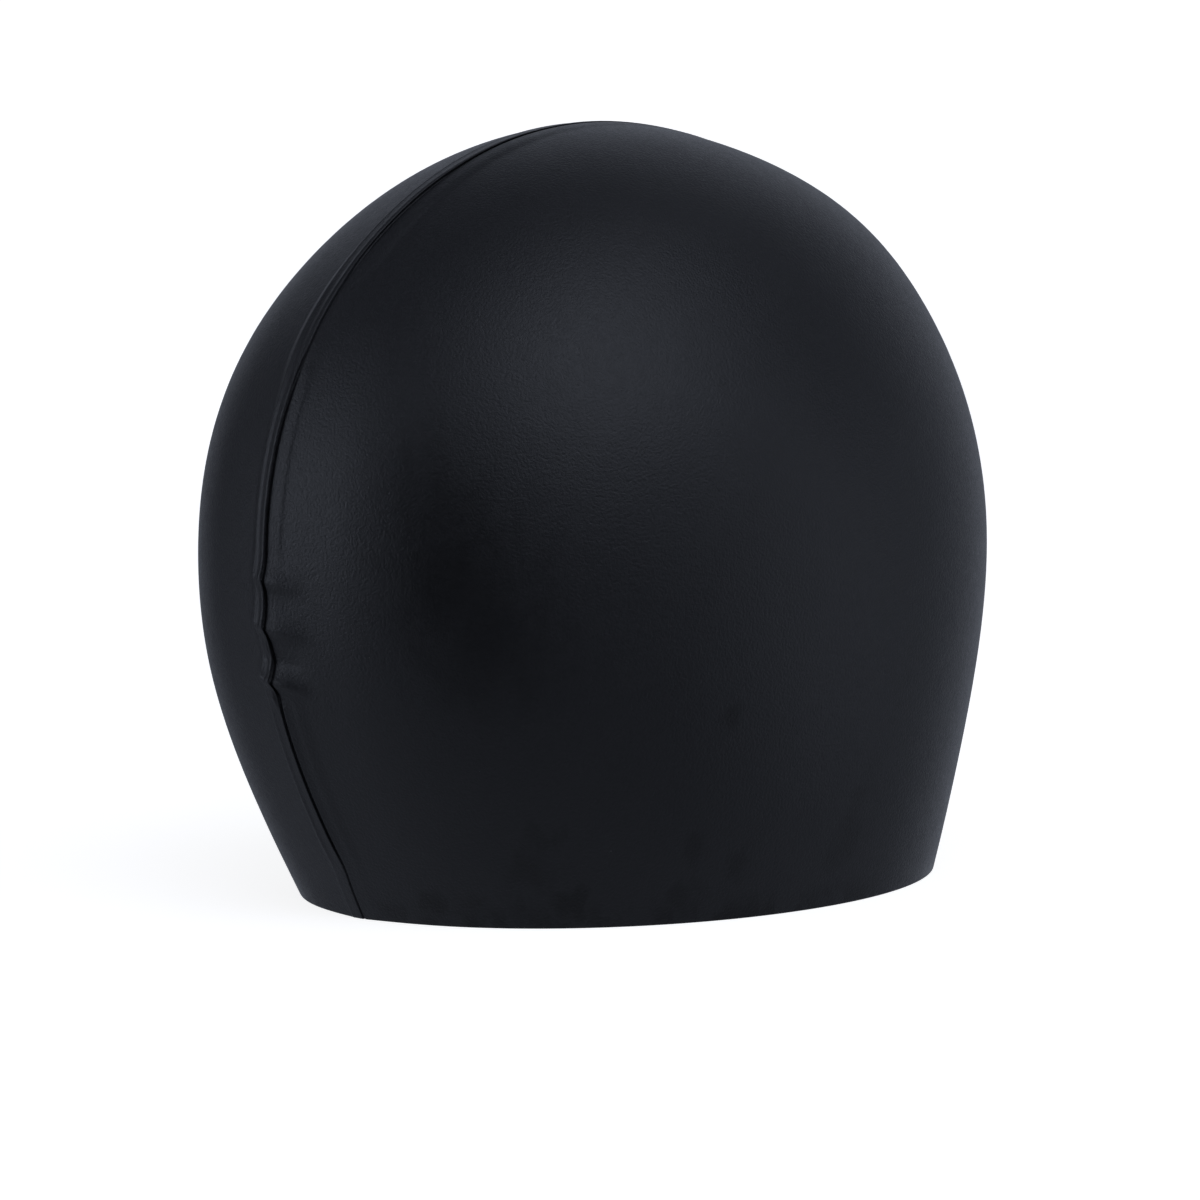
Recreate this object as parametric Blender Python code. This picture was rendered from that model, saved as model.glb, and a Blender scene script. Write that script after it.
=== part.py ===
"""Swim cap moulded from silicone rubber, standing open side down on its rim.

The wearer faces -Y and -X is the wearer's right. Z is 0 at the rim. All sizes are in metres.
"""

import math
from collections import namedtuple

import bmesh
import bpy
import numpy as np

# The dome, without the seam that runs over it.
HEIGHT = 0.1695
LENGTH = 0.191
BREADTH = 0.156
WALL = 0.001

# The soft ridge that the seam draws up in the dome.
CREST_RISE = 0.0016
CREST_REACH = 0.016

# The thickened band along the seam, and the lap that stands on it and leans to the right over a
# narrow groove, where only a share of the band's rise is left.
BAND_WIDTH = 0.0088
BAND_RISE = 0.0003
BAND_BEVEL = 0.0008
LAP_RISE = 0.0007
LAP_WIDTH = 0.0024
LAP_LEAN = 0.0003
GROOVE_WIDTH = 0.0001
GROOVE_SHARE = 0.2

# The lap from the wearer's right to the left: shares of half its width, of its rise and its lean.
LapPoint = namedtuple("LapPoint", "across rise lean")
LAP = (
    LapPoint(-1.00, 0.80, 1),
    LapPoint(-0.70, 1.00, 1),
    LapPoint(0.60, 0.80, 0),
    LapPoint(1.00, 0.10, 0),
)

# The puckers beside the seam at the nape, and the places where the seam swings aside.
PUCKER_RISE = 0.0011
PUCKER_LENGTH = 0.003
PUCKER_REACH = 0.012
SWING_WIDTH = 0.001
SWING_LENGTH = 0.008

# Each level of the dome is an ellipse. A row gives one level: its share of HEIGHT, how far it
# reaches back and forward in shares of half of LENGTH, and sideways in shares of half of BREADTH.
# The last two columns are the shares of CREST_RISE and LAP_RISE that the seam has there.
Section = namedtuple("Section", "height back front side crest lap")
SECTIONS = (
    Section(0.00, 0.745, 0.846, 0.838, 0.50, 0.10),
    Section(0.15, 0.870, 0.903, 0.938, 0.90, 0.90),
    Section(0.30, 0.968, 0.968, 0.990, 1.05, 1.00),
    Section(0.46, 1.000, 1.000, 1.000, 1.00, 1.00),
    Section(0.62, 0.957, 0.957, 0.947, 1.00, 1.00),
    Section(0.77, 0.820, 0.838, 0.802, 1.00, 1.00),
    Section(0.90, 0.564, 0.604, 0.573, 0.80, 0.80),
    Section(1.00, 0.000, 0.000, 0.000, 0.20, 0.40),
)

# A row for each pucker and each hollow between them: the share of HEIGHT of its lower edge, its
# share of PUCKER_RISE, the shares of PUCKER_LENGTH that it runs above and below that edge, and the
# shares of PUCKER_REACH that it runs to the wearer's right and left of the seam.
Pucker = namedtuple("Pucker", "height rise above below right left")
PUCKERS = (
    Pucker(0.463, -0.25, 1.00, 0.65, 0.80, 0.35),
    Pucker(0.436, 0.70, 0.95, 0.55, 0.85, 0.35),
    Pucker(0.375, 1.00, 1.05, 0.60, 1.00, 0.55),
    Pucker(0.342, -0.40, 0.75, 0.75, 0.90, 0.45),
    Pucker(0.306, 1.10, 0.80, 0.45, 0.85, 0.45),
)

# A row for each place where the seam swings aside: the share of HEIGHT, the share of SWING_WIDTH
# that it swings towards the wearer's left, and the shares of SWING_LENGTH above and below.
Swing = namedtuple("Swing", "height left above below")
SWINGS = (
    Swing(0.700, -0.70, 1.75, 1.25),
    Swing(0.075, -1.15, 1.10, 0.75),
)

# The mesh: a ribbon follows the seam from rim to rim, as wide as its share of BREADTH, and a patch
# covers each side.
Layout = namedtuple("Layout", "lower nape upper crown side_columns")
OUTSIDE = Layout(lower=7, nape=25, upper=7, crown=24, side_columns=7)
INSIDE = Layout(lower=5, nape=5, upper=6, crown=18, side_columns=6)
RIBBON_SHARE = 0.58
RIBBON_GRADING = 1.6
CROWN_ANGLE = math.radians(64)
MERGE = 1e-6
SHARP_ANGLE = math.radians(38)


def natural_curve(places, values):
    """The smooth curve through the points, with no bend at its ends."""
    places = np.array(places, float)
    values = np.array(values, float)
    gaps = np.diff(places)
    steps = np.diff(values) / gaps
    count = len(places)
    system = np.eye(count)
    wanted = np.zeros(count)
    for i in range(1, count - 1):
        system[i, i - 1 : i + 2] = gaps[i - 1], 2 * (gaps[i - 1] + gaps[i]), gaps[i]
        wanted[i] = 6 * (steps[i] - steps[i - 1])
    bends = np.linalg.solve(system, wanted)

    def curve(place):
        place = np.asarray(place, float)
        i = np.clip(np.searchsorted(places, place, side="right") - 1, 0, count - 2)
        after = places[i + 1] - place
        before = place - places[i]
        gap = gaps[i]
        cubic = (bends[i] * after**3 + bends[i + 1] * before**3) / (6 * gap)
        start = values[i] / gap - bends[i] * gap / 6
        end = values[i + 1] / gap - bends[i + 1] * gap / 6
        return cubic + start * after + end * before

    return curve


LEVELS = [row.height * HEIGHT for row in SECTIONS]
middle_at = natural_curve(LEVELS, [(row.back - row.front) / 4 * LENGTH for row in SECTIONS])
reach_squared_at = natural_curve(LEVELS, [((row.back + row.front) / 4 * LENGTH) ** 2 for row in SECTIONS])
side_squared_at = natural_curve(LEVELS, [(row.side / 2 * BREADTH) ** 2 for row in SECTIONS])
crest_share_at = natural_curve(LEVELS, [row.crest for row in SECTIONS])
lap_share_at = natural_curve(LEVELS, [row.lap for row in SECTIONS])


def depth_inside(x, y, z):
    """A measure that is positive inside the dome, zero on it and negative outside."""
    below_top = np.minimum(z, 0.9999 * HEIGHT)
    ratio = side_squared_at(below_top) / reach_squared_at(below_top)
    return side_squared_at(z) - x**2 - (y - middle_at(z)) ** 2 * ratio


def normals(points):
    """The dome's outward directions at points on it."""
    x, y, z = np.moveaxis(points, -1, 0)
    step = 1e-5 * HEIGHT
    slopes = [
        depth_inside(x - step, y, z) - depth_inside(x + step, y, z),
        depth_inside(x, y - step, z) - depth_inside(x, y + step, z),
        depth_inside(x, y, z - step) - depth_inside(x, y, z + step),
    ]
    outward = np.stack(slopes, axis=-1)
    return outward / np.linalg.norm(outward, axis=-1, keepdims=True)


def on_dome(x, angle):
    """Points on the dome x to the side of the seam, where a ray from the rim's middle meets it.

    The angle of the ray is 0 at the back of the rim, a right angle at the crown and a half turn
    at the front of the rim.
    """
    x, angle = np.broadcast_arrays(x, angle)
    inner = np.zeros(x.shape)
    outer = np.full(x.shape, HEIGHT + LENGTH)
    for _ in range(50):
        radius = (inner + outer) / 2
        y = radius * np.cos(angle)
        z = radius * np.sin(angle)
        inside = (z < HEIGHT) & (depth_inside(x, y, z) > 0)
        inner = np.where(inside, radius, inner)
        outer = np.where(inside, outer, radius)
    points = np.stack([x, inner * np.cos(angle), inner * np.sin(angle)], axis=-1)
    points[(angle <= 0) | (angle >= math.pi), 2] = 0.0
    return points


def raised(points, rise):
    """Points moved out by a rise across the dome's surface, along rays in the seam's direction."""
    rays = points * (0, 1, 1)
    rays = rays / np.linalg.norm(rays, axis=-1, keepdims=True)
    across = np.sum(rays * normals(points), axis=-1)
    return points + rays * (rise / across)[..., None]


def sunk(points, wall, directions):
    """Points moved in by the wall's thickness, towards the middle of the rim."""
    support = np.sum(points * directions, axis=-1)
    return points * (1 - wall / support)[..., None]


def faded(away):
    """A smooth fall from 1 to 0 as the share of the way out goes from 0 to 1."""
    return (1 - away) ** 2 * (1 + 2 * away)


def crest(x, height):
    """The rise of the soft ridge, which comes to a point at the seam."""
    away = np.clip(1 - np.abs(x) / CREST_REACH, 0, 1)
    return CREST_RISE * crest_share_at(height) * away**2


def bump(height, row, length):
    """A smooth bump over the height, with its own shares of the length above and below."""
    above = (height - row.height * HEIGHT) / length
    return np.exp(-((above / np.where(above > 0, row.above, row.below)) ** 2))


def puckers(x, height, behind):
    """The rise of the puckers, each with a gentle upper side and a sharp lower edge."""
    rise = np.zeros(np.broadcast(x, height).shape)
    for pucker in PUCKERS:
        reach = PUCKER_REACH * np.where(x < 0, pucker.right, pucker.left)
        away = np.clip(np.abs(x) / reach, 0, 1)
        bulge = bump(height, pucker, PUCKER_LENGTH)
        rise = rise + PUCKER_RISE * pucker.rise * bulge * faded(away) * behind
    return rise


def swings(x, height, behind):
    """How far the seam swings to the left, dying away within the puckers' reach."""
    away = np.clip(np.abs(x) / PUCKER_REACH, 0, 1)
    swing = sum(row.left * bump(height, row, SWING_LENGTH) for row in SWINGS)
    return SWING_WIDTH * swing * faded(away) * behind


def row_angles(layout):
    """The ray angles of a ribbon's rows, closest together where the puckers are."""
    marks = [PUCKERS[-1].height * HEIGHT - PUCKER_LENGTH, PUCKERS[0].height * HEIGHT + PUCKER_LENGTH]
    nape = [math.atan2(z, middle_at(z) + math.sqrt(reach_squared_at(z))) for z in marks]
    leg = layout.lower + layout.nape + layout.upper
    runs = (
        (0.0, nape[0], layout.lower),
        (nape[0], nape[1], layout.nape),
        (nape[1], CROWN_ANGLE, layout.upper),
        (CROWN_ANGLE, math.pi - CROWN_ANGLE, layout.crown),
        (math.pi - CROWN_ANGLE, math.pi, leg),
    )
    angles = [np.linspace(start, end, steps, endpoint=False) for start, end, steps in runs]
    return np.append(np.concatenate(angles), math.pi), leg


def side_columns(start, count):
    """Places across the ribbon from the start to its edge, wider apart further out."""
    edge = RIBBON_SHARE * BREADTH / 2
    return [start + (edge - start) * (k / count) ** RIBBON_GRADING for k in range(1, count + 1)]


# A column along the seam: its place across it, and the shares of the band's rise, the lap's rise
# and the lap's lean that it has.
SeamColumn = namedtuple("SeamColumn", "across band lap lean")


def seam_columns():
    """The seam's own cross-section, from the wearer's right to the left."""
    band = BAND_WIDTH / 2
    lap = LAP_WIDTH / 2
    groove = -lap - GROOVE_WIDTH
    return [
        SeamColumn(-band - BAND_BEVEL, 0, 0, 0),
        SeamColumn(-band, 1, 0, 0),
        SeamColumn((groove - band) / 2, 1, 0, 0),
        SeamColumn(groove, GROOVE_SHARE, 0, 0),
        *[SeamColumn(row.across * lap, 1, row.rise, row.lean) for row in LAP],
        SeamColumn((lap + band) / 2, 1, 0, 0),
        SeamColumn(band, 1, 0, 0),
        SeamColumn(band + BAND_BEVEL, 0, 0, 0),
    ]


def outer_ribbon():
    """The outer face on both sides of the seam, with its band, lap and puckers."""
    angles, leg = row_angles(OUTSIDE)
    plain = side_columns(BAND_WIDTH / 2 + BAND_BEVEL, OUTSIDE.side_columns)
    columns = [SeamColumn(-x, 0, 0, 0) for x in reversed(plain)] + seam_columns()
    columns += [SeamColumn(x, 0, 0, 0) for x in plain]
    across, band, lap, lean = np.array(columns, float).T
    angle = angles[:, None]
    height = on_dome(0.0, angle)[..., 2]
    behind = (angle < math.pi / 2).astype(float)
    lap_share = lap_share_at(height)
    x = across + swings(across, height, behind) - LAP_LEAN * lean * lap_share
    rise = crest(x, height) + puckers(x, height, behind)
    rise = rise + BAND_RISE * band + LAP_RISE * lap * lap_share
    return raised(on_dome(x, angle), rise), leg


def inner_ribbon():
    """The inner face on both sides of the seam, which follows the soft ridge alone."""
    angles, leg = row_angles(INSIDE)
    plain = side_columns(0.0, INSIDE.side_columns)
    x = np.array([-place for place in reversed(plain)] + [0.0] + plain)
    angle = angles[:, None]
    height = on_dome(0.0, angle)[..., 2]
    base = on_dome(x, angle)
    return sunk(raised(base, crest(x, height)), WALL, normals(base)), leg


def side_patch(edge, leg, wall):
    """The face beside a ribbon, between the ribbon's edge and the rim.

    The edge's first and last rows are the patch's sides, and its middle is the patch's top. The
    places between them are blended in the side view and then set on the dome.
    """
    edge = np.array(edge)
    side = math.copysign(1.0, edge[0, 0])
    back = edge[: leg + 1, 1:]
    top = edge[leg : len(edge) - leg, 1:]
    front = edge[: len(edge) - leg - 2 : -1, 1:]
    up = np.linspace(0, 1, len(back))[:, None, None]
    along = np.linspace(0, 1, len(top))[None, :, None]

    reach = math.sqrt(reach_squared_at(0.0))
    turns = [math.acos((end[0, 0] - middle_at(0.0)) / reach) for end in (back, front)]
    turn = np.linspace(turns[0], turns[1], len(top))
    rim = np.stack([middle_at(0.0) + reach * np.cos(turn), 0 * turn], axis=-1)

    blend = (1 - up) * rim[None] + up * top[None] + (1 - along) * back[:, None] + along * front[:, None]
    corners = (1 - up) * ((1 - along) * back[0] + along * front[0])
    corners = corners + up * ((1 - along) * back[-1] + along * front[-1])
    y, z = np.moveaxis(blend - corners, -1, 0)
    part = 1 - (y - middle_at(z)) ** 2 / reach_squared_at(z)
    x = side * np.sqrt(side_squared_at(z) * part)
    points = np.stack([x, y, z], axis=-1)
    return sunk(points, wall, normals(points))


def add_sheet(mesh, points):
    """Adds a grid of points to a mesh as faces."""
    rows = [[mesh.verts.new(point) for point in row] for row in points]
    for low, high in zip(rows, rows[1:]):
        for corners in zip(low, low[1:], high[1:], high):
            mesh.faces.new(corners)


def add_skin(mesh, ribbon, edges, leg, wall):
    """Adds one face of the wall: its ribbon and the patch on each side."""
    add_sheet(mesh, ribbon)
    for edge in edges:
        add_sheet(mesh, side_patch(edge, leg, wall))


def shell():
    """The cap's wall as one closed body, with a flat rim."""
    mesh = bmesh.new()
    outer, outer_leg = outer_ribbon()
    add_skin(mesh, outer, (outer[:, 0], outer[:, -1]), outer_leg, 0.0)
    inner, inner_leg = inner_ribbon()
    angles, _ = row_angles(INSIDE)
    edge = RIBBON_SHARE * BREADTH / 2
    add_skin(mesh, inner, (on_dome(-edge, angles), on_dome(edge, angles)), inner_leg, WALL)
    bmesh.ops.remove_doubles(mesh, verts=mesh.verts, dist=MERGE)
    rim = [line for line in mesh.edges if line.is_boundary]
    bmesh.ops.triangle_fill(mesh, edges=rim, use_beauty=True, normal=(0, 0, -1))
    bmesh.ops.triangulate(mesh, faces=mesh.faces)
    bmesh.ops.recalc_face_normals(mesh, faces=mesh.faces)
    return mesh


def silicone():
    """Black silicone rubber with a soft satin surface."""
    material = bpy.data.materials.new("black_silicone")
    material.use_nodes = True
    surface = material.node_tree.nodes["Principled BSDF"]
    surface.inputs["Base Color"].default_value = (0.012, 0.012, 0.015, 1)
    surface.inputs["Roughness"].default_value = 0.45
    surface.inputs["Metallic"].default_value = 0.0
    return material


def add_cap():
    """The cap in the scene, shaded smooth apart from its rim and the edges of the lap."""
    mesh = bpy.data.meshes.new("cap_shell")
    body = shell()
    body.to_mesh(mesh)
    body.free()
    mesh.shade_smooth()
    mesh.set_sharp_from_angle(angle=SHARP_ANGLE)
    mesh.materials.append(silicone())
    cap = bpy.data.objects.new("cap_shell", mesh)
    bpy.context.scene.collection.objects.link(cap)
    return cap


for leftover in list(bpy.data.objects):
    bpy.data.objects.remove(leftover)
add_cap()
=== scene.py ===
"""The looks of the swim cap: its fine silicone wall, a pale floor, studio lights and the camera.

The wearer faces -Y and -X is the wearer's right. Z is 0 at the rim. All sizes are in metres.
"""

import math
from collections import namedtuple

import bmesh
import bpy
import numpy as np
from mathutils import Matrix, Vector


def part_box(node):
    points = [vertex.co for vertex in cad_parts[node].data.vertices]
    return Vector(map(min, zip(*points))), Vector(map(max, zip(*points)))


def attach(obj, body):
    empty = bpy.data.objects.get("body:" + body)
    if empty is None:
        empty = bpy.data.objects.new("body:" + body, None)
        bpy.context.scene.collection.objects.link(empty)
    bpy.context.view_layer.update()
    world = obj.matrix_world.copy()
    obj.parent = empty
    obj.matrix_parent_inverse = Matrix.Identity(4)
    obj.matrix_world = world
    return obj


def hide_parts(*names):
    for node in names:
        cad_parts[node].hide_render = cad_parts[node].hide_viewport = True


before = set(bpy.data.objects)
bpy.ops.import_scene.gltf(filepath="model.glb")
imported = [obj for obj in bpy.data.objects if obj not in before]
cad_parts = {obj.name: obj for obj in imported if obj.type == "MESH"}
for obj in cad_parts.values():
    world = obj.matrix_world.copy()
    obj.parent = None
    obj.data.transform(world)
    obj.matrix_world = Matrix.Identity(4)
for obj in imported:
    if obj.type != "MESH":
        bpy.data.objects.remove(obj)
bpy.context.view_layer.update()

# The soft ridge that the seam draws up in the dome.
CREST_RISE = 0.0016
CREST_REACH = 0.016
CREST_ROUNDING = 0.0009

# The puckers beside the seam at the nape: how far they reach to the side, the share of that over
# which they keep their full rise, how round their edges are, and how much higher they lie for each
# metre further to the wearer's left.
PUCKER_RISE = 0.0012
PUCKER_REACH = 0.0125
PUCKER_PLATEAU = 0.25
PUCKER_ROUNDING = 0.4
PUCKER_SLANT = 0.5

# Each level of the dome is an ellipse. A row gives one level: its share of the dome's height, how
# far it reaches back and forward in shares of half the length, and sideways in shares of half the
# breadth. The last column is the share of CREST_RISE that the seam has there.
Section = namedtuple("Section", "height back front side crest")
SECTIONS = (
    Section(0.00, 0.745, 0.846, 0.838, 0.50),
    Section(0.15, 0.870, 0.903, 0.938, 0.90),
    Section(0.30, 0.968, 0.968, 0.990, 1.05),
    Section(0.46, 1.000, 1.000, 1.000, 1.00),
    Section(0.62, 0.957, 0.957, 0.947, 1.00),
    Section(0.77, 0.820, 0.838, 0.802, 1.00),
    Section(0.90, 0.564, 0.604, 0.573, 0.80),
    Section(1.00, 0.000, 0.000, 0.000, 0.20),
)

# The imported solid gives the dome's sizes, once what the seam adds on top and at the ends is taken
# off.
ON_TOP = 0.00079
ON_ENDS = 0.00234
low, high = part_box("cap_shell")
HEIGHT = high.z - ON_TOP
LENGTH = high.y - low.y - 2 * ON_ENDS
BREADTH = high.x - low.x

# The wall's thickness, and the radius of the rim's edges.
WALL = 0.001
RIM_ROUNDING = 0.00025

# A row for each pucker and each hollow between them: the share of HEIGHT of its lower edge, its
# share of PUCKER_RISE, its lengths above and below that edge in millimetres, and the shares of
# PUCKER_REACH that it runs to the wearer's right and left of the seam.
Pucker = namedtuple("Pucker", "height rise above below right left")
PUCKERS = (
    Pucker(0.468, -0.20, 3.0, 3.0, 0.80, 0.35),
    Pucker(0.435, 0.80, 3.0, 0.9, 0.95, 0.40),
    Pucker(0.373, 1.12, 3.0, 0.8, 1.00, 0.45),
    Pucker(0.352, 0.30, 1.4, 1.0, 0.08, 0.40),
    Pucker(0.341, -0.60, 2.4, 2.2, 0.95, 0.42),
    Pucker(0.304, 1.35, 2.4, 0.7, 0.85, 0.42),
    Pucker(0.287, 0.45, 1.3, 1.0, 0.08, 0.45),
)

# A row for each place where the seam swings aside: the share of HEIGHT, and in millimetres how far
# it swings towards the wearer's left and its lengths above and below. What is beside the seam
# swings with it, less and less out to SWING_REACH.
Swing = namedtuple("Swing", "height left above below")
SWINGS = (
    Swing(0.700, -0.70, 14.0, 10.0),
    Swing(0.075, -1.15, 9.0, 6.0),
)
SWING_REACH = 0.012

# The seam's cross-section, as halves to the wearer's right and left of the middle of the groove
# that the left half of the wall laps over. A row is a corner before rounding: its place across
# the seam and its rise above the dome, both in millimetres.
Corner = namedtuple("Corner", "across rise")
LOW_RIGHT = (
    Corner(-7.25, 0.00),
    Corner(-6.30, 0.07),
    Corner(-5.30, 0.17),
    Corner(-4.60, 0.22),
    Corner(-3.90, 0.21),
    Corner(-3.00, 0.26),
    Corner(-2.10, 0.42),
    Corner(-1.48, 0.54),
    Corner(-1.34, -0.48),
)
NAPE_RIGHT = (
    Corner(-7.25, 0.00),
    Corner(-6.45, 0.01),
    Corner(-5.35, 0.05),
    Corner(-4.35, 0.10),
    Corner(-3.25, 0.14),
    Corner(-1.95, 0.17),
    Corner(-1.33, 0.15),
    Corner(-1.18, -0.25),
    Corner(-0.90, -0.48),
)
BAND_RIGHT = (
    Corner(-7.25, 0.00),
    Corner(-6.10, 0.00),
    Corner(-5.20, 0.03),
    Corner(-4.60, 0.17),
    Corner(-3.90, 0.19),
    Corner(-1.95, 0.19),
    Corner(-1.36, 0.17),
    Corner(-1.20, -0.30),
    Corner(-0.90, -0.48),
)
BACK_RIGHT = (
    Corner(-7.25, 0.00),
    Corner(-6.45, 0.01),
    Corner(-5.35, 0.08),
    Corner(-4.35, 0.24),
    Corner(-3.25, 0.44),
    Corner(-2.20, 0.60),
    Corner(-1.80, 0.56),
    Corner(-1.68, 0.40),
    Corner(-1.56, 0.34),
)
CROWN_RIGHT = (
    Corner(-7.25, 0.00),
    Corner(-6.55, 0.02),
    Corner(-5.45, 0.32),
    Corner(-4.35, 0.42),
    Corner(-3.25, 0.38),
    Corner(-1.95, 0.28),
    Corner(-1.60, 0.10),
    Corner(-1.46, -0.34),
    Corner(-1.00, -0.48),
)
LOW_LEFT = (
    Corner(-0.92, -0.46),
    Corner(-0.58, -0.05),
    Corner(-0.58, 0.30),
    Corner(-0.86, 0.50),
    Corner(-0.96, 0.60),
    Corner(-0.86, 0.70),
    Corner(-0.58, 0.68),
    Corner(0.00, 0.56),
    Corner(0.70, 0.42),
    Corner(1.25, 0.40),
    Corner(1.75, 0.58),
    Corner(2.20, 0.74),
    Corner(2.60, 0.62),
    Corner(2.98, 0.26),
    Corner(4.20, 0.00),
)
NAPE_LEFT = (
    Corner(-0.30, -0.46),
    Corner(-0.05, -0.10),
    Corner(-0.10, 0.28),
    Corner(-0.66, 0.54),
    Corner(-1.20, 0.80),
    Corner(-1.24, 0.88),
    Corner(-1.08, 0.96),
    Corner(-0.76, 0.92),
    Corner(-0.30, 0.74),
    Corner(0.35, 0.53),
    Corner(1.00, 0.50),
    Corner(1.58, 0.70),
    Corner(2.05, 0.68),
    Corner(2.65, 0.30),
    Corner(4.00, 0.00),
)
BACK_LEFT = (
    Corner(-1.60, 0.36),
    Corner(-1.56, 0.55),
    Corner(-1.60, 0.84),
    Corner(-1.52, 1.04),
    Corner(-1.28, 1.10),
    Corner(-0.98, 0.98),
    Corner(-0.72, 1.06),
    Corner(-0.40, 0.96),
    Corner(0.00, 0.78),
    Corner(0.50, 0.54),
    Corner(1.20, 0.40),
    Corner(2.20, 0.54),
    Corner(2.90, 0.68),
    Corner(3.90, 0.38),
    Corner(5.10, 0.00),
)
CROWN_LEFT = (
    Corner(-0.45, -0.46),
    Corner(-0.35, -0.05),
    Corner(-0.55, 0.40),
    Corner(-1.06, 0.56),
    Corner(-1.12, 0.72),
    Corner(-0.90, 0.88),
    Corner(-0.40, 0.90),
    Corner(0.05, 0.80),
    Corner(0.26, 0.60),
    Corner(0.50, 0.36),
    Corner(1.40, 0.28),
    Corner(2.70, 0.32),
    Corner(3.30, 0.48),
    Corner(3.80, 0.34),
    Corner(4.60, 0.00),
)
TOP_RIGHT = (
    Corner(-7.25, 0.00),
    Corner(-6.55, 0.02),
    Corner(-5.45, 0.26),
    Corner(-4.35, 0.40),
    Corner(-3.25, 0.42),
    Corner(-1.95, 0.40),
    Corner(-1.42, 0.30),
    Corner(-1.28, -0.20),
    Corner(-1.00, -0.48),
)
TOP_LEFT = (
    Corner(-0.45, -0.46),
    Corner(-0.35, -0.05),
    Corner(-0.60, 0.34),
    Corner(-1.12, 0.47),
    Corner(-1.20, 0.57),
    Corner(-1.00, 0.68),
    Corner(-0.50, 0.67),
    Corner(0.05, 0.58),
    Corner(0.26, 0.48),
    Corner(0.50, 0.35),
    Corner(1.40, 0.28),
    Corner(2.70, 0.32),
    Corner(3.30, 0.48),
    Corner(3.80, 0.34),
    Corner(4.60, 0.00),
)
# The share of each edge that is cut off at a corner when the cross-section is rounded.
CORNER_CUT = 0.25

# A row for each change from one pair of halves to the next going up the back, in shares of
# HEIGHT. The last pair also runs down the front.
Change = namedtuple("Change", "right left start end")
CHANGES = (
    Change(NAPE_RIGHT, NAPE_LEFT, 0.270, 0.305),
    Change(BAND_RIGHT, NAPE_LEFT, 0.450, 0.500),
    Change(BACK_RIGHT, BACK_LEFT, 0.655, 0.730),
    Change(CROWN_RIGHT, CROWN_LEFT, 0.800, 0.870),
    Change(TOP_RIGHT, TOP_LEFT, 0.915, 0.970),
)

# The shares of HEIGHT between which the seam rises from its share left at the rim to the whole.
RIM_PLAIN, RIM_FULL = 0.060, 0.105
RIM_SHARE = 0.30

# The share of HEIGHT from which the seam sinks again, and the share of its rise left at the top.
TOP_START = 0.97
TOP_SHARE = 0.4
MILLIMETRE = 0.001

# The mesh: a ribbon follows the seam from rim to rim, and a patch covers each side. The legs of
# both climb to the share LEG_TOP of HEIGHT, and the crown joins them. The rows of a leg are close
# between the puckers and NAPE_MARGIN beyond them, and grow tighter by LEG_GRADING towards the rim.
# The ribbon ends at RIBBON_SHARE of half the breadth, and its columns are wider apart further out
# by RIBBON_GRADING. Corners closer than MERGE are one.
Layout = namedtuple("Layout", "rim lower nape upper crown side_columns")
OUTSIDE = Layout(rim=4, lower=22, nape=64, upper=22, crown=84, side_columns=22)
INSIDE = Layout(rim=4, lower=12, nape=8, upper=12, crown=40, side_columns=14)
LEG_TOP = 0.68
LEG_GRADING = 1.6
RIBBON_SHARE = 0.58
RIBBON_GRADING = 1.5
NAPE_MARGIN = 0.006
MERGE = 1e-6

# How finely the dome is worked out: the halvings of a ray, and small shares of HEIGHT. They are
# the step for a slope, the gap kept to the top, where a level is a point, and the height above
# the rim at which its outward direction is taken.
RAY_HALVINGS = 50
SLOPE_STEP = 1e-5
NEAR_TOP = 0.9999
NEAR_RIM = 1e-4


def natural_curve(places, values):
    """The smooth curve through the points, with no bend at its ends."""
    places = np.array(places, float)
    values = np.array(values, float)
    gaps = np.diff(places)
    steps = np.diff(values) / gaps
    count = len(places)
    system = np.eye(count)
    wanted = np.zeros(count)
    for i in range(1, count - 1):
        system[i, i - 1 : i + 2] = gaps[i - 1], 2 * (gaps[i - 1] + gaps[i]), gaps[i]
        wanted[i] = 6 * (steps[i] - steps[i - 1])
    bends = np.linalg.solve(system, wanted)

    def curve(place):
        place = np.asarray(place, float)
        i = np.clip(np.searchsorted(places, place, side="right") - 1, 0, count - 2)
        after = places[i + 1] - place
        before = place - places[i]
        gap = gaps[i]
        cubic = (bends[i] * after**3 + bends[i + 1] * before**3) / (6 * gap)
        start = values[i] / gap - bends[i] * gap / 6
        end = values[i + 1] / gap - bends[i + 1] * gap / 6
        return cubic + start * after + end * before

    return curve


LEVELS = [row.height * HEIGHT for row in SECTIONS]


def level_curve(value):
    """The smooth curve over the height of a value that each section's row gives."""
    return natural_curve(LEVELS, [value(row) for row in SECTIONS])


middle_at = level_curve(lambda row: (row.back - row.front) / 4 * LENGTH)
reach_squared_at = level_curve(lambda row: ((row.back + row.front) / 4 * LENGTH) ** 2)
side_squared_at = level_curve(lambda row: (row.side / 2 * BREADTH) ** 2)
crest_share_at = level_curve(lambda row: row.crest)


def depth_inside(x, y, z):
    """A measure that is positive inside the dome, zero on it and negative outside."""
    below_top = np.minimum(z, NEAR_TOP * HEIGHT)
    ratio = side_squared_at(below_top) / reach_squared_at(below_top)
    return side_squared_at(z) - x**2 - (y - middle_at(z)) ** 2 * ratio


def normals(points):
    """The dome's outward directions at points on it."""
    x, y, z = np.moveaxis(points, -1, 0)
    step = SLOPE_STEP * HEIGHT
    slopes = [
        depth_inside(x - step, y, z) - depth_inside(x + step, y, z),
        depth_inside(x, y - step, z) - depth_inside(x, y + step, z),
        depth_inside(x, y, z - step) - depth_inside(x, y, z + step),
    ]
    outward = np.stack(slopes, axis=-1)
    return outward / np.linalg.norm(outward, axis=-1, keepdims=True)


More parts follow.
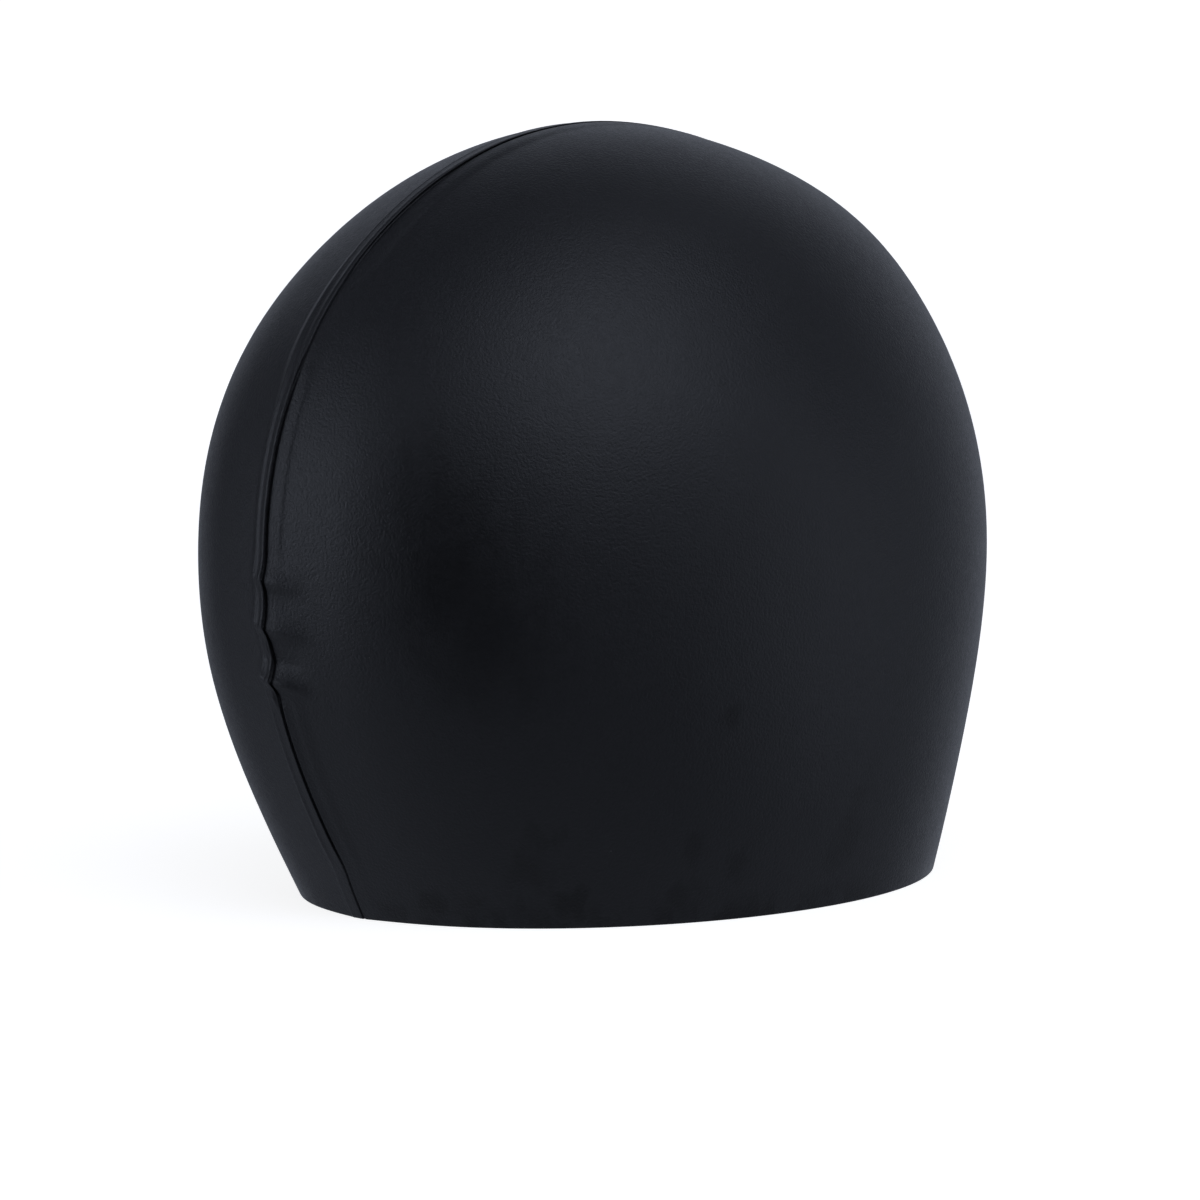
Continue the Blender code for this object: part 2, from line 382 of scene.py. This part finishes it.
def on_level(x, z, way):
    """Points on the dome x to the side of the seam at a height, at the back (way 1) or front (-1)."""
    x, z = np.broadcast_arrays(x, z)
    along = np.sqrt(reach_squared_at(z) * (1 - x**2 / side_squared_at(z)))
    return np.stack([x, middle_at(z) + way * along, z], axis=-1)


def on_dome(x, angle):
    """Points on the dome x to the side of the seam, where a ray from the rim's middle meets it."""
    x, angle = np.broadcast_arrays(x, angle)
    inner = np.zeros(x.shape)
    outer = np.full(x.shape, HEIGHT + LENGTH)
    for _ in range(RAY_HALVINGS):
        radius = (inner + outer) / 2
        y = radius * np.cos(angle)
        z = radius * np.sin(angle)
        inside = (z < HEIGHT) & (depth_inside(x, y, z) > 0)
        inner = np.where(inside, radius, inner)
        outer = np.where(inside, outer, radius)
    return np.stack([x, inner * np.cos(angle), inner * np.sin(angle)], axis=-1)


def leg_heights(layout):
    """The heights of a leg's rows: tight where the rim is rounded, and close at the puckers."""
    turns = np.linspace(0, math.pi / 2, layout.rim, endpoint=False)
    rounding = RIM_ROUNDING * (1 - np.cos(turns))
    marks = [PUCKERS[-1].height * HEIGHT - NAPE_MARGIN, PUCKERS[0].height * HEIGHT + NAPE_MARGIN]
    shares = np.linspace(0, 1, layout.lower, endpoint=False) ** LEG_GRADING
    lower = RIM_ROUNDING + (marks[0] - RIM_ROUNDING) * shares
    nape = np.linspace(marks[0], marks[1], layout.nape, endpoint=False)
    upper = np.linspace(marks[1], LEG_TOP * HEIGHT, layout.upper + 1)
    return np.concatenate([rounding, lower, nape, upper])


def along_seam(x, layout):
    """Points on the dome in rows from the back of the rim over the crown to its front.

    x holds the places across the seam, as one row for all or with a row for each.
    """
    heights = leg_heights(layout)[:, None]
    leg = len(heights) - 1
    x = np.broadcast_to(x, (2 * leg + layout.crown + 1, np.shape(x)[-1]))
    back = on_level(x[: leg + 1], heights, 1)
    front = on_level(x[-leg - 1 :], heights[::-1], -1)
    ends = [np.arctan2(row[:, 2], row[:, 1]) for row in (back[-1], front[0])]
    share = np.arange(1, layout.crown)[:, None] / layout.crown
    crown = on_dome(x[leg + 1 : -leg - 1], (1 - share) * ends[0] + share * ends[1])
    return np.concatenate([back, crown, front]), leg


def raised(points, rise):
    """Points moved out by a rise across the dome's surface, along rays in the seam's direction."""
    rays = points * (0, 1, 1)
    rays = rays / np.linalg.norm(rays, axis=-1, keepdims=True)
    across = np.sum(rays * normals(points), axis=-1)
    return points + rays * (rise / across)[..., None]


def sunk(points, wall, directions):
    """Points moved in by the wall's thickness, towards the middle of the rim."""
    support = np.sum(points * directions, axis=-1)
    return points * (1 - wall / support)[..., None]


def faded(away):
    """A smooth fall from 1 to 0 as the share of the way out goes from 0 to 1."""
    return (1 - away) ** 2 * (1 + 2 * away)


def crest(x, height):
    """The rise of the soft ridge, which is narrow but rounded at the seam."""
    out = np.sqrt(x**2 + CREST_ROUNDING**2) - CREST_ROUNDING
    away = np.clip(1 - out / CREST_REACH, 0, 1)
    return CREST_RISE * crest_share_at(height) * away**2


def bump(height, row):
    """A bump over the height, with its own lengths above and below its rounded edge."""
    above = height - row.height * HEIGHT
    length = np.where(above > 0, row.above, row.below) * MILLIMETRE
    return np.exp(PUCKER_ROUNDING - np.hypot(above / length, PUCKER_ROUNDING))


def puckers(x, height, behind):
    """The rise of the puckers, each with a gentle upper side and a sharp lower edge."""
    level = height - PUCKER_SLANT * np.maximum(x, 0)
    rise = np.zeros(level.shape)
    for pucker in PUCKERS:
        reach = PUCKER_REACH * np.where(x < 0, pucker.right, pucker.left)
        away = np.clip((np.abs(x) / reach - PUCKER_PLATEAU) / (1 - PUCKER_PLATEAU), 0, 1)
        rise = rise + PUCKER_RISE * pucker.rise * bump(level, pucker) * faded(away)
    return rise * behind


def swings(x, height, behind):
    """How far the seam and what is beside it swing to the left."""
    away = np.clip(np.abs(x) / SWING_REACH, 0, 1)
    swing = sum(row.left * MILLIMETRE * bump(height, row) for row in SWINGS)
    return swing * faded(away) * behind


def smooth_step(value, start, end):
    """A smooth climb from 0 at the start to 1 at the end."""
    share = np.clip((value - start) / (end - start), 0, 1)
    return share**2 * (3 - 2 * share)


def side_columns(start, count):
    """Places across the ribbon from the start to its edge, wider apart further out."""
    edge = RIBBON_SHARE * BREADTH / 2
    return [start + (edge - start) * (k / count) ** RIBBON_GRADING for k in range(1, count + 1)]


def rounded(corners):
    """A line with each of its corners cut off, by CORNER_CUT of the edge on each side."""
    corners = np.array(corners, float)
    shares = (1 - CORNER_CUT, CORNER_CUT)
    cuts = [share * corners[:-1] + (1 - share) * corners[1:] for share in shares]
    middle = np.stack(cuts, axis=1).reshape(-1, corners.shape[1])
    return np.concatenate([corners[:1], middle, corners[-1:]])


def seam_section(height, behind):
    """The corners of the seam's rounded cross-section in a row for each height."""
    section = rounded(rounded(LOW_RIGHT + LOW_LEFT))[None]
    for change in CHANGES:
        share = smooth_step(height, change.start * HEIGHT, change.end * HEIGHT)
        share = np.maximum(share, 1 - behind)[..., None]
        section = section + (rounded(rounded(change.right + change.left)) - section) * share
    return section * MILLIMETRE


def outer_columns(section):
    """The places across the outer ribbon and the seam's rise at each."""
    rows = []
    for row in section:
        right = side_columns(-row[0, 0], OUTSIDE.side_columns)
        left = side_columns(row[-1, 0], OUTSIDE.side_columns)
        places = [-x for x in reversed(right)] + list(row[:, 0]) + left
        rises = [0.0] * len(right) + list(row[:, 1]) + [0.0] * len(left)
        rows.append((places, rises))
    return np.moveaxis(np.array(rows), 1, 0)


def rim_rounded(points, way):
    """Points near the rim moved across the wall so that the rim's edge is round.

    The way is 1 on the outer face and -1 on the inner face.
    """
    above = np.clip(1 - points[..., 2] / RIM_ROUNDING, 0, 1)
    shift = RIM_ROUNDING * (1 - np.sqrt(1 - above**2)) * way
    outward = normals(points * (1, 1, 0) + (0, 0, NEAR_RIM * HEIGHT)) * (1, 1, 0)
    return points - outward * shift[..., None]


def outer_ribbon():
    """The outer face on both sides of the seam, with its band, lap and puckers."""
    spine, leg = along_seam(np.array([0.0]), OUTSIDE)
    height = spine[..., 2]
    behind = (spine[..., 1] > 0).astype(float)
    across, seam_rise = outer_columns(seam_section(height, behind))
    x = across + swings(across, height, behind)
    stands_out = smooth_step(height, RIM_PLAIN * HEIGHT, RIM_FULL * HEIGHT)
    sinks = smooth_step(height, TOP_START * HEIGHT, HEIGHT)
    stands_out = stands_out * (1 - (1 - TOP_SHARE) * sinks)
    share = RIM_SHARE + (1 - RIM_SHARE) * stands_out
    seam_rise = np.where(seam_rise > 0, seam_rise * share, seam_rise)
    rise = crest(x, height) + puckers(x, height, behind) + seam_rise
    base, _ = along_seam(x, OUTSIDE)
    return raised(base, rise), leg


def inner_ribbon():
    """The inner face on both sides of the seam, which follows the soft ridge alone."""
    plain = side_columns(0.0, INSIDE.side_columns)
    x = np.array([-place for place in reversed(plain)] + [0.0] + plain)
    spine, leg = along_seam(np.array([0.0]), INSIDE)
    base, _ = along_seam(x, INSIDE)
    return sunk(raised(base, crest(x, spine[..., 2])), WALL, normals(base)), base, leg


def side_patch(edge, leg):
    """The dome beside a ribbon, between the ribbon's edge and the rim.

    The edge's first and last rows are the patch's sides, and its middle is the patch's top. The
    places between them are blended in the side view and then set on the dome.
    """
    side = math.copysign(1.0, edge[0, 0])
    back = edge[: leg + 1, 1:]
    top = edge[leg : len(edge) - leg, 1:]
    front = edge[: len(edge) - leg - 2 : -1, 1:]
    up = (back[:, 1] / back[-1, 1])[:, None, None]
    along = np.linspace(0, 1, len(top))[None, :, None]

    reach = math.sqrt(reach_squared_at(0.0))
    turns = [math.acos((end[0, 0] - middle_at(0.0)) / reach) for end in (back, front)]
    turn = np.linspace(turns[0], turns[1], len(top))
    rim = np.stack([middle_at(0.0) + reach * np.cos(turn), 0 * turn], axis=-1)

    blend = (1 - up) * rim[None] + up * top[None]
    blend = blend + (1 - along) * back[:, None] + along * front[:, None]
    corners = (1 - up) * ((1 - along) * back[0] + along * front[0])
    corners = corners + up * ((1 - along) * back[-1] + along * front[-1])
    y, z = np.moveaxis(blend - corners, -1, 0)
    part = 1 - (y - middle_at(z)) ** 2 / reach_squared_at(z)
    x = side * np.sqrt(side_squared_at(z) * part)
    return np.stack([x, y, z], axis=-1)


def add_sheet(mesh, points):
    """Adds a grid of points to a mesh as faces."""
    rows = [[mesh.verts.new(point) for point in row] for row in points]
    for low_row, high_row in zip(rows, rows[1:]):
        for corners in zip(low_row, low_row[1:], high_row[1:], high_row):
            mesh.faces.new(corners)


def shell():
    """The cap's wall as one closed body, with a flat rim whose edges are rounded."""
    mesh = bmesh.new()
    outer, leg = outer_ribbon()
    add_sheet(mesh, rim_rounded(outer, 1))
    for edge in (outer[:, 0], outer[:, -1]):
        add_sheet(mesh, rim_rounded(side_patch(edge, leg), 1))
    inner, base, leg = inner_ribbon()
    add_sheet(mesh, rim_rounded(inner, -1))
    for edge in (base[:, 0], base[:, -1]):
        patch = side_patch(edge, leg)
        add_sheet(mesh, rim_rounded(sunk(patch, WALL, normals(patch)), -1))
    bmesh.ops.remove_doubles(mesh, verts=mesh.verts, dist=MERGE)
    rim = [line for line in mesh.edges if line.is_boundary]
    bmesh.ops.triangle_fill(mesh, edges=rim, use_beauty=True, normal=(0, 0, -1))
    bmesh.ops.recalc_face_normals(mesh, faces=mesh.faces)
    return mesh


# The silicone's looks. Lengths are in metres, and a grain's length is that of one of its cells.
# STREAKS draws the edges of the dark patches out upwards. DARK_PATCH_RAGGED is how uneven these edges
# are and DARK_PATCH_SPREAD how far a patch fades out, both as shares of its radius, and
# DARK_PATCH_POLISH is how much less rough its middle is. Grime lies in patches up to RIM_GRIME_HEIGHT
# above the rim.
# The first black is the colour of the dark patches: smudges and rim grime, and painted shade in the
# three wide patches 65 to 90 mm up.
STAIN_AND_SHADE_BLACK = (0.0020, 0.0020, 0.0026, 1)
MID_BLACK = (0.0115, 0.0115, 0.0132, 1)
DUSTY_BLACK = (0.0165, 0.0167, 0.0185, 1)
DUST = (0.13, 0.13, 0.13, 1)
CLOUD_LENGTH = 0.016
GRAIN_LENGTH = 0.0006
GRAIN_DEPTH = 0.00016
WAVE_LENGTH = 0.009
WAVE_DEPTH = 0.00004
SPECK_SPACING = 0.0078
SPECK_RADIUS = 0.00011
STREAKS = (1.0, 1.0, 0.45)
DARK_PATCH_LENGTH = 0.005
DARK_PATCH_RAGGED = 0.7
DARK_PATCH_SPREAD = 1.6
DARK_PATCH_POLISH = 0.06
RIM_GRIME_HEIGHT = 0.008
RIM_GRIME_PATCHES = (0.42, 0.62)
RIM_GRIME_SHARES = (0.1, 0.9)
SILICONE_IOR = 1.41

# The span that a noise's values mostly keep to, and what clouds and grain make of it in the mix
# of the blacks and in the roughness.
NOISE_SPAN = (0.3, 0.7)
CLOUD_TONES = (0.1, 0.4)
GRAIN_TONES = (0.0, 0.6)
CLOUD_ROUGHNESS = (0.435, 0.465)
GRAIN_ROUGHNESS = (-0.05, 0.05)

# Darker patches. Most are smudges left by handling. The three wide ones 65 to 90 mm up are painted
# shade: a darker colour where the side reflects less light. A row gives how far round from the seam
# to the wearer's right in degrees, the height and the radius in millimetres, and how dark the middle
# is.
DarkPatch = namedtuple("DarkPatch", "turn height radius share")
SMUDGES_AND_PAINTED_SHADE = (
    DarkPatch(9, 2.5, 3.0, 0.9),
    DarkPatch(18, 4.9, 3.5, 0.9),
    DarkPatch(26, 5.4, 3.5, 0.9),
    DarkPatch(35, 4.4, 3.0, 0.8),
    DarkPatch(44, 5.5, 4.0, 0.9),
    DarkPatch(39, 13.7, 5.0, 0.55),
    DarkPatch(41, 19.4, 4.5, 0.45),
    DarkPatch(71, 46.2, 2.5, 0.50),
    DarkPatch(96, 25.8, 5.0, 0.40),
    DarkPatch(93, 14.9, 5.0, 0.50),
    DarkPatch(72, 13.0, 3.5, 0.50),
    DarkPatch(62, 5.6, 4.0, 0.55),
    DarkPatch(64, 16.9, 3.5, 0.45),
    # Painted shade: these three wide patches darken the colour where the side reflects less light.
    DarkPatch(29, 89.8, 16.0, 0.60),
    DarkPatch(32, 77.3, 18.0, 0.75),
    DarkPatch(36, 64.6, 16.0, 0.62),
    DarkPatch(215, 12.0, 6.0, 0.50),
    DarkPatch(300, 22.0, 6.0, 0.50),
)


def dark_patch_place(dark_patch):
    """The middle of a dark patch on the dome, for smudges and painted shade alike."""
    turn = math.radians(dark_patch.turn)
    height = dark_patch.height * MILLIMETRE
    x = -math.sin(turn) * math.sqrt(side_squared_at(height))
    y = math.cos(turn) * math.sqrt(reach_squared_at(height)) + middle_at(height)
    return (float(x), float(y), height)


class Nodes:
    """The nodes of a material or of the studio, made and joined in one step each."""

    def __init__(self, tree):
        self.tree = tree

    def add(self, kind, inputs=None, **settings):
        """A new node with its settings, and its inputs joined or set."""
        node = self.tree.nodes.new("ShaderNode" + kind)
        for name, value in settings.items():
            setattr(node, name, value)
        for name, value in (inputs or {}).items():
            self.put(node.inputs[name], value)
        return node

    def put(self, socket, value):
        """Joins an output to an input, or sets the input's value."""
        if isinstance(value, bpy.types.NodeSocket):
            self.tree.links.new(value, socket)
        else:
            socket.default_value = value

    def math(self, operation, first, second=0.0):
        """The outcome of an operation on one or two values."""
        return self.add("Math", {0: first, 1: second}, operation=operation).outputs[0]

    def span(self, value, start, end, to_start=0.0, to_end=1.0):
        """A value carried smoothly from one span to another."""
        inputs = {"Value": value, "From Min": start, "From Max": end}
        inputs |= {"To Min": to_start, "To Max": to_end}
        return self.add("MapRange", inputs, interpolation_type="SMOOTHSTEP").outputs["Result"]

    def blend(self, share, first, second):
        """A colour between two others."""
        return self.add("Mix", {0: share, 6: first, 7: second}, data_type="RGBA").outputs[2]


def silicone():
    """Black silicone rubber with a soft satin surface, a fine grain, dust, faint smudges and painted
    shade.
    """
    material = bpy.data.materials.new("black_silicone")
    material.use_nodes = True
    nodes = Nodes(material.node_tree)
    surface = material.node_tree.nodes["Principled BSDF"]
    place = nodes.add("TexCoord").outputs["Object"]

    def noise(length, detail=2.0, roughness=0.5, vector=place):
        inputs = {"Vector": vector, "Scale": 1 / length, "Detail": detail, "Roughness": roughness}
        return nodes.add("TexNoise", inputs).outputs["Fac"]

    clouds = noise(CLOUD_LENGTH, detail=5.0, roughness=0.6)
    grain = noise(GRAIN_LENGTH, detail=3.0, roughness=0.6)
    fine_clouds = noise(CLOUD_LENGTH / 6, detail=3.0)

    streaks = nodes.add("VectorMath", {0: place, 1: STREAKS}, operation="MULTIPLY").outputs[0]
    uneven = noise(DARK_PATCH_LENGTH, detail=4.0, roughness=0.6, vector=streaks)
    # The dark patches: smudges, and painted shade in the three wide ones on the side.
    stains_and_shade = 0.0
    for dark_patch in SMUDGES_AND_PAINTED_SHADE:
        radius = dark_patch.radius * MILLIMETRE
        inputs = {0: place, 1: dark_patch_place(dark_patch)}
        away = nodes.add("VectorMath", inputs, operation="DISTANCE").outputs["Value"]
        ragged = DARK_PATCH_RAGGED * min(radius, DARK_PATCH_LENGTH)
        edge = nodes.math("ADD", away, nodes.span(uneven, *NOISE_SPAN, -ragged, ragged))
        spot = nodes.span(edge, 0.0, DARK_PATCH_SPREAD * radius, dark_patch.share, 0.0)
        stains_and_shade = nodes.math("MAXIMUM", stains_and_shade, spot)

    height = nodes.add("SeparateXYZ", {0: place}).outputs["Z"]
    grime = nodes.span(height, 0.0, RIM_GRIME_HEIGHT, 1.0, 0.0)
    patches = nodes.span(uneven, *RIM_GRIME_PATCHES, *RIM_GRIME_SHARES)
    stains_and_shade = nodes.math("MAXIMUM", stains_and_shade, nodes.math("MULTIPLY", grime, patches))

    specks = nodes.add("TexVoronoi", {"Vector": place, "Scale": 1 / SPECK_SPACING})
    chance = nodes.add("SeparateColor", {0: specks.outputs["Color"]}).outputs[0]
    size = nodes.math("MULTIPLY", chance, SPECK_RADIUS / SPECK_SPACING)
    dust = nodes.math("LESS_THAN", specks.outputs["Distance"], size)

    cloud_tone = nodes.span(clouds, *NOISE_SPAN, *CLOUD_TONES)
    tone = nodes.math("ADD", cloud_tone, nodes.span(grain, *NOISE_SPAN, *GRAIN_TONES))
    rubber = nodes.blend(tone, MID_BLACK, DUSTY_BLACK)
    # Darker colour over the smudges and the rim grime, and painted shade in the wide patches on the
    # side.
    rubber = nodes.blend(stains_and_shade, rubber, STAIN_AND_SHADE_BLACK)
    nodes.put(surface.inputs["Base Color"], nodes.blend(dust, rubber, DUST))

    rough = nodes.span(fine_clouds, *NOISE_SPAN, *CLOUD_ROUGHNESS)
    rough = nodes.math("ADD", rough, nodes.span(grain, *NOISE_SPAN, *GRAIN_ROUGHNESS))
    rough = nodes.math("SUBTRACT", rough, nodes.math("MULTIPLY", stains_and_shade, DARK_PATCH_POLISH))
    nodes.put(surface.inputs["Roughness"], rough)
    surface.inputs["IOR"].default_value = SILICONE_IOR

    waves = nodes.add("Bump", {"Strength": 1.0, "Distance": WAVE_DEPTH, "Height": noise(WAVE_LENGTH)})
    inputs = {"Strength": 1.0, "Distance": GRAIN_DEPTH, "Height": grain, "Normal": waves.outputs[0]}
    nodes.put(surface.inputs["Normal"], nodes.add("Bump", inputs).outputs[0])
    return material


def add_cap():
    """The cap's fine wall, in place of the plain solid."""
    mesh = bpy.data.meshes.new("cap")
    body = shell()
    body.to_mesh(mesh)
    body.free()
    mesh.shade_smooth()
    mesh.materials.append(silicone())
    cap = bpy.data.objects.new("cap", mesh)
    bpy.context.scene.collection.objects.link(cap)
    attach(cap, "root")
    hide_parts("cap_shell")


# The camera stands behind the cap and to its wearer's right, a little above it, and is turned
# slightly round its own line of sight.
CAMERA_AZIMUTH = math.radians(227)
CAMERA_DISTANCE = 1.3
CAMERA_HEIGHT = 0.205
CAMERA_AIM = Vector((-0.0002, -0.00022, 0.0632))
CAMERA_ROLL = math.radians(1)
LENS = 175.05
SENSOR = 36

# The floor, which reaches far past the view and shows as a near white.
FLOOR_SIZE = 120
FLOOR_GREY = (0.5, 0.5, 0.5, 1)
FLOOR_EMISSION = 0.86
WHITE = (1, 1, 1, 1)


def add_camera():
    """The photograph's camera."""
    camera = bpy.data.cameras.new("camera")
    camera.sensor_width = SENSOR
    camera.lens = LENS
    holder = bpy.data.objects.new("camera", camera)
    bpy.context.scene.collection.objects.link(holder)
    place = Vector((math.sin(CAMERA_AZIMUTH), -math.cos(CAMERA_AZIMUTH), 0)) * CAMERA_DISTANCE
    place.z = CAMERA_HEIGHT
    roll = Matrix.Rotation(-CAMERA_ROLL, 3, "Z").to_quaternion()
    turn = (CAMERA_AIM - place).to_track_quat("-Z", "Y") @ roll
    holder.matrix_world = Matrix.Translation(place) @ turn.to_matrix().to_4x4()
    bpy.context.scene.camera = holder


# The studio's soft light panels, far away on all sides of the cap. A row gives a panel's middle as
# azimuth and elevation, the angles from there at which it starts to fade and ends, and its
# strength. Azimuth 0 is behind a viewer who looks along +Y, and 90 behind one who looks along -X.
Panel = namedtuple("Panel", "azimuth elevation full faded strength")
PANELS = (
    Panel(259, 49, 4, 39, 1.60),
    Panel(146, 11, 17, 26, 1.60),
    Panel(312, 0, 21, 27, 0.64),
    Panel(38, 6, 29, 46, 0.50),
    Panel(128, -17, 20, 27, 0.24),
)
FLOOR_GLOW = 0.35
CEILING_GLOW = 0.085
LIGHT_TINT = (0.89, 0.965, 1.145)


def direction(azimuth, elevation):
    """The direction from the cap to a place at an azimuth and elevation, in degrees."""
    turn, climb = math.radians(azimuth), math.radians(elevation)
    return (math.sin(turn) * math.cos(climb), -math.cos(turn) * math.cos(climb), math.sin(climb))


def add_world():
    """The studio round the cap: soft panels, a faint glow, and white where the camera sees it."""
    world = bpy.data.worlds.new("studio")
    world.use_nodes = True
    bpy.context.scene.world = world
    world.node_tree.nodes.clear()
    nodes = Nodes(world.node_tree)
    look = nodes.add("TexCoord").outputs["Generated"]

    def facing(way):
        return nodes.add("VectorMath", {0: look, 1: way}, operation="DOT_PRODUCT").outputs["Value"]

    below = nodes.math("MAXIMUM", facing((0, 0, -1)), 0.0)
    above = nodes.math("MAXIMUM", facing((0, 0, 1)), 0.0)
    total = nodes.math("MULTIPLY", below, FLOOR_GLOW)
    total = nodes.math("ADD", total, nodes.math("MULTIPLY", above, CEILING_GLOW))
    for panel in PANELS:
        start, end = (math.cos(math.radians(angle)) for angle in (panel.faded, panel.full))
        faced = facing(direction(panel.azimuth, panel.elevation))
        total = nodes.math("ADD", total, nodes.span(faced, start, end, 0.0, panel.strength))

    light = nodes.add("Background", {"Color": (*LIGHT_TINT, 1), "Strength": total}).outputs[0]
    white = nodes.add("Background", {"Color": WHITE}).outputs[0]
    seen = nodes.add("LightPath").outputs["Is Camera Ray"]
    shown = nodes.add("MixShader", {0: seen, 1: light, 2: white}).outputs[0]
    nodes.add("OutputWorld", {"Surface": shown})


def add_floor():
    """A plain white floor that only the camera sees, with the cap's soft shadow on it."""
    mesh = bpy.data.meshes.new("floor")
    half = FLOOR_SIZE / 2
    corners = [(-half, -half, 0), (half, -half, 0), (half, half, 0), (-half, half, 0)]
    mesh.from_pydata(corners, [], [(0, 1, 2, 3)])
    material = bpy.data.materials.new("white_floor")
    material.use_nodes = True
    surface = material.node_tree.nodes["Principled BSDF"]
    surface.inputs["Base Color"].default_value = FLOOR_GREY
    surface.inputs["Roughness"].default_value = 1.0
    surface.inputs["Specular IOR Level"].default_value = 0.0
    surface.inputs["Emission Color"].default_value = WHITE
    surface.inputs["Emission Strength"].default_value = FLOOR_EMISSION
    mesh.materials.append(material)
    floor = bpy.data.objects.new("floor", mesh)
    bpy.context.scene.collection.objects.link(floor)
    floor.visible_diffuse = False
    floor.visible_glossy = False
    floor.visible_transmission = False
    floor.visible_shadow = False


add_cap()
add_camera()
add_world()
add_floor()
bpy.context.scene.view_settings.view_transform = "Standard"
